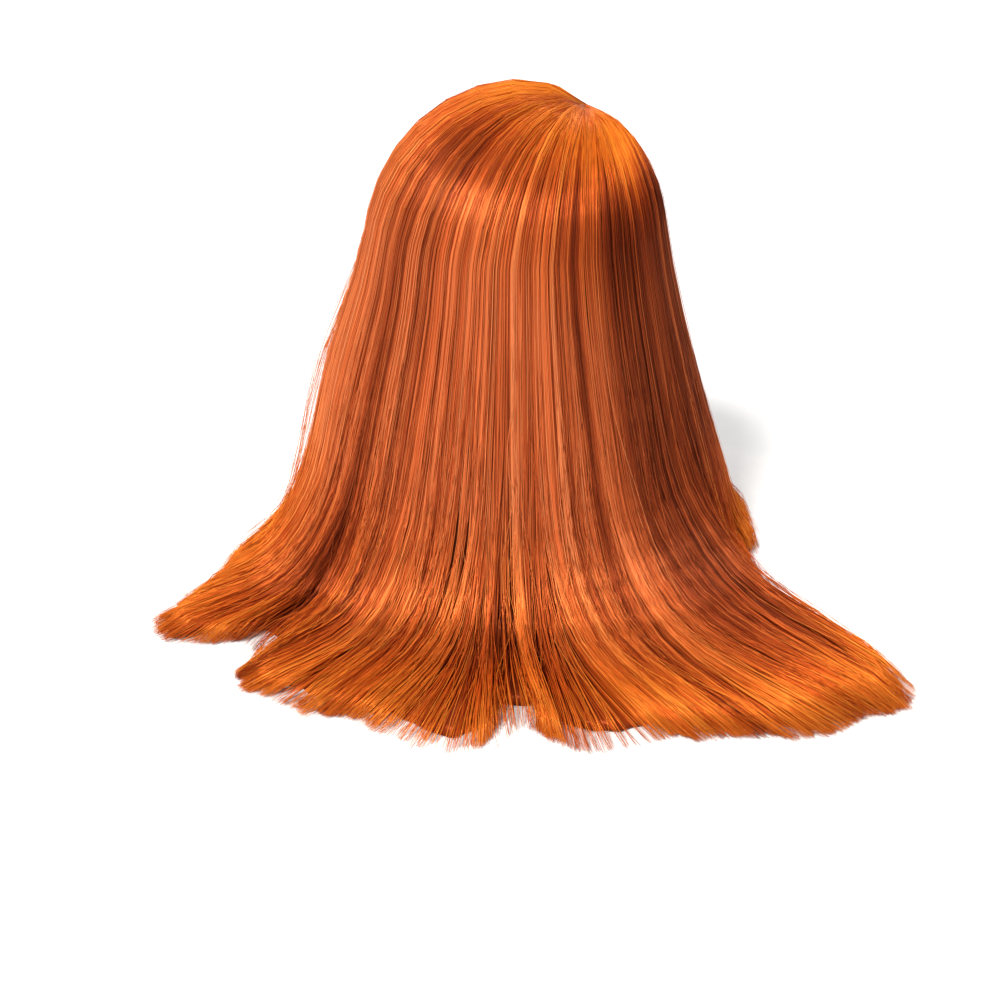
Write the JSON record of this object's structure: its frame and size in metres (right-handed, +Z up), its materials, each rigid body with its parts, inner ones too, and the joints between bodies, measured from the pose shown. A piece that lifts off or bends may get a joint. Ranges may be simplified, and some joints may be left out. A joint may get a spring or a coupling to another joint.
{
  "type": "mannequin training head",
  "caption": "Mannequin training head: vinyl face on a foam core, long straight side-parted hair that spreads on the table, and a blind clamp socket in the flat neck base.",
  "frame": {"origin": "centre of the clamp socket's mouth, on the flat base that the head stands on", "axes": "+Z up through the crown, the face towards -Y, the head's own left towards +X"},
  "size_m": [0.446, 0.386, 0.298],
  "materials": {
    "skin": "satin",
    "foam": "matte",
    "base_plastic": "matte",
    "block_wood": "matte",
    "socket_plastic": "satin",
    "screw_steel": "satin",
    "eye": "gloss",
    "lash": "matte",
    "brow": "matte",
    "hair": "satin",
    "nape_hair": "satin"
  },
  "bodies": {
    "root": {"head_skin": "skin", "foam_core": "foam", "base_plate": "base_plastic", "neck_block": "block_wood", "clamp_socket": "socket_plastic", "base_screws": "screw_steel", "eye_left": "eye", "eye_right": "eye", "lashes_left": "lash", "lashes_right": "lash", "brow_left": "brow", "brow_right": "brow", "hair_front_left": "hair", "hair_side_left": "hair", "hair_behind_ear_left": "hair", "hair_back_left": "hair", "hair_back_centre_left": "hair", "hair_back_centre_right": "hair", "hair_back_right": "hair", "hair_behind_ear_right": "hair", "hair_side_right": "hair", "hair_front_right": "hair", "nape_hair_left": "nape_hair", "nape_hair_centre": "nape_hair", "nape_hair_right": "nape_hair"}
  },
  "joints": []
}
